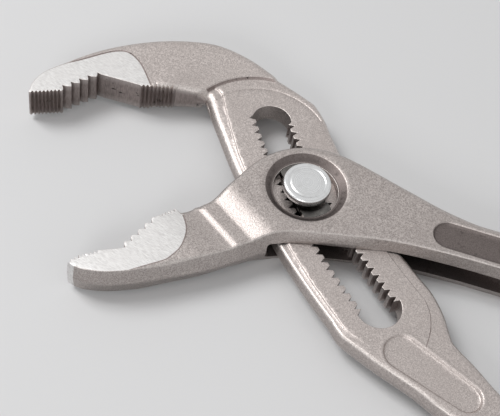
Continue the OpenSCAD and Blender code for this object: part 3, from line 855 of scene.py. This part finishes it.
shank_side, shank_heel, side_clear, throat_clear = 12.3, 13.1, 0.45, 1.1
gap_reach, gap_fillet, heel_angle = 60, 1.1, 24
swings = [slotted_turn - box_turn - math.radians(limit) for limit in joints["jaw_pivot"]["range_deg"]]
shut, opened = max(swings), min(swings)
normals = np.array([(-math.sin(opened), math.cos(opened)), (-math.sin(shut), math.cos(shut))])
throat = np.linalg.solve(normals, [-shank_side - throat_clear] * 2)
heel_radius = slot_radius - shank_heel - side_clear
half_turn = (shut - opened) / 2
heel_start = math.asin(slot_radius * math.sin(half_turn) / heel_radius) - half_turn
heel = about_centre(heel_start + np.radians(np.linspace(0, heel_angle, 40)), heel_radius)
gap_plan = np.concatenate([
    [throat + turned((-gap_reach, 0), shut), throat, throat + turned((gap_reach, 0), opened)],
    turned(heel, shut)[::-1],
    turned(heel * (-1, 1), opened)[1:]])


def cut_away(piece, cutter):
    """Cuts a closed shape out of a piece, for good."""
    cut = piece.modifiers.new("cut", "BOOLEAN")
    cut.object, cut.operation, cut.solver = cutter, "DIFFERENCE", "EXACT"
    bpy.context.view_layer.update()
    result = bpy.data.meshes.new_from_object(piece.evaluated_get(bpy.context.evaluated_depsgraph_get()))
    piece.modifiers.clear()
    piece.data = result
    bpy.data.objects.remove(cutter)


def cutter_on(plan, low, high, fillet=0, filleted=0):
    """A straight block on a plan, to cut the box leg with, and with a fillet along its first few sides."""
    count = len(plan)
    spots = [(*p, z) for z in (low, high) for p in plan]
    sides = [(i, (i + 1) % count, count + (i + 1) % count, count + i) for i in range(count)]
    mesh = mesh_of("cutter", spots, [list(range(count))[::-1], list(range(count, 2 * count))] + sides)
    # Every face the cutter leaves takes the darkest steel, painted shade inside the gap and the ring seat.
    mesh.polygons.foreach_set("material_index", [hollow_shade] * (count + 2))
    for steel in box_steels:
        mesh.materials.append(steel)
    shape = bmesh.new()
    shape.from_mesh(mesh)
    bmesh.ops.recalc_face_normals(shape, faces=shape.faces)
    shape.verts.ensure_lookup_table()
    starts = [k + i for k in (0, count) for i in range(filleted)]
    edges = [shape.edges.get((shape.verts[i], shape.verts[i + 1])) for i in starts]
    if edges:
        bmesh.ops.bevel(shape, geom=edges, offset=fillet * MM, segments=6, affect="EDGES", profile=0.5)
    shape.to_mesh(mesh)
    shape.free()
    return placed("cutter", mesh)


gap_low, gap_high = mid_height - gap_half, mid_height + gap_half
cut_away(box_leg, cutter_on(turned(gap_plan, box_turn), gap_low, gap_high, gap_fillet, 2))
ring_low, ring_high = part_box("retaining_ring")
ring_clear = 0.05
ring_seat = (ring_high.x / MM + ring_clear) * full_circle
cut_away(box_leg, cutter_on(ring_seat, ring_low.z / MM - ring_clear, ring_high.z / MM + ring_clear))
finished(box_leg, 38)
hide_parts("box_leg")
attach(box_leg, "box_leg")

# Hinge bolt, its cover, the split retaining ring, the lock bar and the push pin: turned and milled from
# bar and stamped from sheet, left bright with a trace of oil. The bolt carries the lock inside it, the
# cover closes it at the rear and the ring snaps into a groove of the rear plate.
bright = Finish("bright steel")
tool_lines = bright.noise(700, 4, 0.6, bright.scaled(1, 1, 14))
oil = bright.noise(260, 3)
bright_tone = bright.ramp(tool_lines, [(0.3, (0.10, 0.095, 0.09)), (0.7, (0.20, 0.19, 0.18))])
bright_tone = bright.blend(bright.level(oil, 0, 0.5, 0.45, 0.7), bright_tone, (0.06, 0.055, 0.052))
bright_steel = bright.set(
    Base_Color=bright_tone, Metallic=1.0, Roughness=bright.level(oil, 0.22, 0.38, 0.3, 0.7),
    Normal=bright.bump(tool_lines, 0.15, 0.00003))
edge_size, edge_turn = 0.12, math.radians(40)
for name in ("hinge_bolt", "bolt_cover", "retaining_ring", "lock_bar", "push_pin"):
    small = frame["nodes"][name]
    small.data.materials.clear()
    small.data.materials.append(bright_steel)
    edge = small.modifiers.new("broken edge", "BEVEL")
    edge.width, edge.segments, edge.limit_method = edge_size * MM, 2, "ANGLE"
    edge.angle_limit = edge_turn

# Return spring: one coil of round spring wire round the push pin, from the bolt up into the button. It
# lifts the button and keeps the lock bar's teeth in the racks.
spring_low, spring_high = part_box("return_spring")
wire_half, coil_turns, foot_clear = 0.28, 4, 0.06
coil_radius = spring_high.x / MM - wire_half
coil_foot, coil_top = spring_low.z / MM + wire_half, spring_high.z / MM - wire_half
coil_steps, wire_sides = coil_turns * 40, 12
coil, wraps = [], []
for i in range(coil_steps + 1):
    a = 2 * math.pi * coil_turns * i / coil_steps
    rise = coil_foot + (coil_top - coil_foot) * i / coil_steps
    for j in range(wire_sides):
        b = 2 * math.pi * j / wire_sides
        out = coil_radius + wire_half * math.cos(b)
        coil.append((out * math.cos(a), out * math.sin(a), rise + wire_half * math.sin(b)))
for row in range(0, coil_steps * wire_sides, wire_sides):
    wraps += between_rows(row, wire_sides)
wraps += [list(range(wire_sides)), list(range(coil_steps * wire_sides, len(coil)))[::-1]]
spring = placed("return_spring_coil", mesh_of("return_spring_coil", coil, wraps))
wire = Finish("spring wire")
wire_cloud = wire.noise(900, 3)
spring.data.materials.append(wire.set(
    Base_Color=wire.ramp(wire_cloud, [(0.3, (0.30, 0.29, 0.28)), (0.7, (0.46, 0.45, 0.44))]),
    Metallic=1.0, Roughness=wire.level(wire_cloud, 0.25, 0.4, 0.3, 0.7)))
finished(spring, 60)
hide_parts("return_spring")
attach(spring, "pivot")
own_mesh(spring)

# Push button: a shallow cap turned from bright steel, with a chamfered rim, a turned ring in its face and
# fine tool marks. It is pressed on the pin and sinks into the bolt's cup when it is pushed.
button_low, button_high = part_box("push_button")
cap_radius = button_high.x / MM
cap_foot, cap_top = button_low.z / MM, button_high.z / MM
cap_bore, cap_wall, cap_dip, cap_sides = 3.2, 0.96, 0.03, 144
foot_break, bore_break = 0.15, 0.1
cap_face = [
    (2.2, 0.02), (3.6, 0), (3.72, 0.02), (3.84, 0.14), (3.98, 0.16), (4.12, 0.14), (4.24, 0.02), (4.36, 0)]
cap_edge = [(0.5, 0), (0.32, 0.05), (0.12, 0.2), (0.03, 0.4), (0, 0.6)]
cap_profile = [(out, cap_top - down) for out, down in cap_face]
cap_profile += [(cap_radius - inset, cap_top - down) for inset, down in cap_edge]
cap_profile += [
    (cap_radius, cap_foot + foot_break), (cap_radius - foot_break, cap_foot),
    (cap_bore + bore_break, cap_foot), (cap_bore, cap_foot + bore_break), (cap_bore, cap_top - cap_wall)]
cap_spots, cap_faces = [], []
for out, height in cap_profile:
    for i in range(cap_sides):
        a = 2 * math.pi * i / cap_sides
        cap_spots.append((out * math.cos(a), out * math.sin(a), height))
cap_spots += [(0, 0, cap_top - cap_dip), (0, 0, cap_top - cap_wall)]
cap_last = (len(cap_profile) - 1) * cap_sides
for row in range(0, cap_last, cap_sides):
    cap_faces += between_rows(row, cap_sides)
for i in range(cap_sides):
    j = (i + 1) % cap_sides
    cap_faces += [(len(cap_spots) - 2, i, j), (len(cap_spots) - 1, cap_last + j, cap_last + i)]
button = placed("push_button_cap", mesh_of("push_button_cap", cap_spots, cap_faces))
polish = Finish("turned cap")
from_axis = polish.add("VectorMath", {0: polish.scaled(1, 1, 0)}, operation="LENGTH").outputs["Value"]
ring_noise = polish.add("TexNoise", {"W": from_axis, "Scale": 5200.0, "Detail": 3.0}, noise_dimensions="1D")
rings = ring_noise.outputs["Fac"]
scuffs = polish.noise(520, 4, 0.65)
cap_tone = polish.ramp(rings, [(0.3, (0.60, 0.605, 0.61)), (0.7, (0.78, 0.785, 0.79))])
cap_tone = polish.blend(polish.level(scuffs, 0, 0.5, 0.5, 0.75), cap_tone, (0.46, 0.455, 0.45))
button.data.materials.append(polish.set(
    Base_Color=cap_tone, Metallic=1.0, Roughness=polish.level(scuffs, 0.2, 0.34, 0.3, 0.7),
    Normal=polish.bump(rings, 0.25, 0.00003)))
finished(button, 50)
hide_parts("push_button")
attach(button, "button")

# Grips: two sleeves of black dipped plastic with a rolled collar at the front end, thick and rounded over
# the tangs of the handles, with the fine matt grain that plastic takes when it sets.
plastic = Finish("grip plastic")
pores = plastic.noise(1900, 3, 0.6)
patches = plastic.noise(90, 3)
plastic_tone = plastic.ramp(pores, [(0.3, (0.018, 0.018, 0.019)), (0.7, (0.036, 0.036, 0.037))])
plastic_tone = plastic.blend(plastic.level(patches, 0, 0.4, 0.4, 0.7), plastic_tone, (0.028, 0.027, 0.027))
grip_plastic = plastic.set(
    Base_Color=plastic_tone, Roughness=plastic.level(patches, 0.46, 0.6, 0.3, 0.7),
    Normal=plastic.bump(pores, 0.3, 0.00012))
collar_rise, collar_slope = 0.5, (3.5, 6.5)
corner_size, square_turn, hull_turn = 4.2, math.radians(50), math.radians(0.3)
sleeve_draft, collar_rim, sleeve_rim, rim_growth = 0.2, 1.9, 3.6, (1, 9)


def sleeve_outline(loop):
    """The outside of a sleeve's plan, with its front corners rounded."""
    hull = loop[convex_hull_2d([Vector(p) for p in loop])]
    hull = hull[np.abs(turn_angles(hull)) > hull_turn]
    out = []
    for i, angle in enumerate(np.abs(turn_angles(hull))):
        p, before, after = hull[i], hull[i - 1], hull[(i + 1) % len(hull)]
        if angle < square_turn:
            out.append(p)
            continue
        a, b = [p + (far - p) * corner_size / np.linalg.norm(far - p) for far in (before, after)]
        out += [a * (1 - t)**2 + 2 * p * t * (1 - t) + b * t**2 for t in np.linspace(0, 1, 7)]
    return faired(np.array(out), 1.0)


def sleeve(node, turn, start, heading, grip_from):
    """A grip's outside: a collar in front and, past it, a body that is a little slimmer all round."""

    def past_front(x, y):
        return (np.stack([x, y], -1) - start) @ on_circle(heading) - grip_from

    def face(x, y):
        return mid_height - collar_rise * eased(past_front(x, y), *collar_slope)

    def paint(points):
        return np.zeros(len(points))

    outline = sleeve_outline(plan_loops(node, plan_level, turn)[0])
    places = past_front(*outline.T)
    radius = collar_rim + (sleeve_rim - collar_rim) * eased(places, *rim_growth)
    draft = sleeve_draft + collar_rise * eased(places, *collar_slope)
    rim = outline, radius, draft, np.full(len(outline), forged), 0
    return forging(node + "_sleeve", [rim], face, face, [], [((40, -40), (190, 80), 2)], paint, turn)


for leg, body, turn, start, heading, grip_from in (
        ("slotted_leg_grip", "slotted_leg", slotted_turn, handle_start, handle_heading, 24),
        ("box_leg_grip", "box_leg", box_turn, box_handle, box_heading, 26)):
    grip = sleeve(leg, turn, start, heading, grip_from)
    grip.data.materials.append(grip_plastic)
    finished(grip, 50)
    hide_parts(leg)
    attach(grip, body)

# Stage: a plain pale floor that the tool lies on, soft studio light from the lower left of the view, and
# a camera at the photograph's place. The background shows pale to the eye, to metal and to glass alike.
camera_tilt, camera_roll = 0.6127, 0.2085
camera_turn = math.radians(20)
camera_shift = Vector((12.131, 1.7333, 279.3))
sensor_width, focal_length = 36.0, 87.48
right = Vector((1, 0, 0))
up = Vector((0, math.cos(camera_tilt), math.sin(camera_tilt)))
ahead = Vector((0, math.sin(camera_tilt), -math.cos(camera_tilt)))
view_right = math.cos(camera_roll) * right + math.sin(camera_roll) * up
view_up = -math.sin(camera_roll) * right + math.cos(camera_roll) * up
axes = Matrix((view_right, view_up, ahead))
eye = -(axes.transposed() @ camera_shift) + Vector((0, 0, mid_height))
about_bolt = Matrix.Rotation(camera_turn, 3, "Z")
lens = bpy.data.cameras.new("view")
lens.sensor_width, lens.lens = sensor_width, focal_length
lens.clip_start = 0.01
camera = placed("view", lens)
pose = Matrix((view_right, view_up, -ahead)).transposed()
camera.matrix_world = Matrix.Translation(about_bolt @ eye * MM) @ (about_bolt @ pose).to_4x4()
bpy.context.scene.camera = camera

bpy.ops.mesh.primitive_plane_add(size=6)
floor = bpy.context.object
floor.name = "floor"
pale = Finish("pale floor")
floor_tone = pale.ramp(pale.noise(3, 2), [(0.3, (0.66, 0.66, 0.665)), (0.7, (0.68, 0.68, 0.685))])
floor.data.materials.append(pale.set(Base_Color=floor_tone, Roughness=0.9))


def soft_light(name, place, aim, size, power):
    """A square studio lamp that looks at one spot."""
    lamp = bpy.data.lights.new(name, "AREA")
    lamp.shape, lamp.size, lamp.energy = "SQUARE", size, power
    light = placed(name, lamp)
    light.location = place
    light.rotation_euler = (Vector(aim) - Vector(place)).to_track_quat("-Z", "Y").to_euler()


soft_light("key", (-0.56, -0.05, 0.78), (0, 0, 0), 0.4, 5.2)
soft_light("front", (0.1, -0.82, 0.48), (0.03, 0, 0), 0.3, 1.8)

lit_strength, seen_strength = 0.45, 0.85
world = bpy.data.worlds.new("studio")
bpy.context.scene.world = world
world.use_nodes = True
sky = world.node_tree.nodes
join = world.node_tree.links.new
light_path = sky.new("ShaderNodeLightPath")
seen = light_path.outputs["Is Camera Ray"]
for ray in ("Is Glossy Ray", "Is Transmission Ray"):
    either = sky.new("ShaderNodeMath")
    either.operation = "MAXIMUM"
    join(seen, either.inputs[0])
    join(light_path.outputs[ray], either.inputs[1])
    seen = either.outputs[0]
strength = sky.new("ShaderNodeMapRange")
strength.inputs["To Min"].default_value = lit_strength
strength.inputs["To Max"].default_value = seen_strength
join(seen, strength.inputs["Value"])
join(strength.outputs["Result"], sky["Background"].inputs["Strength"])
sky["Background"].inputs["Color"].default_value = (1, 1, 1, 1)

bpy.context.scene.view_settings.view_transform = "Standard"
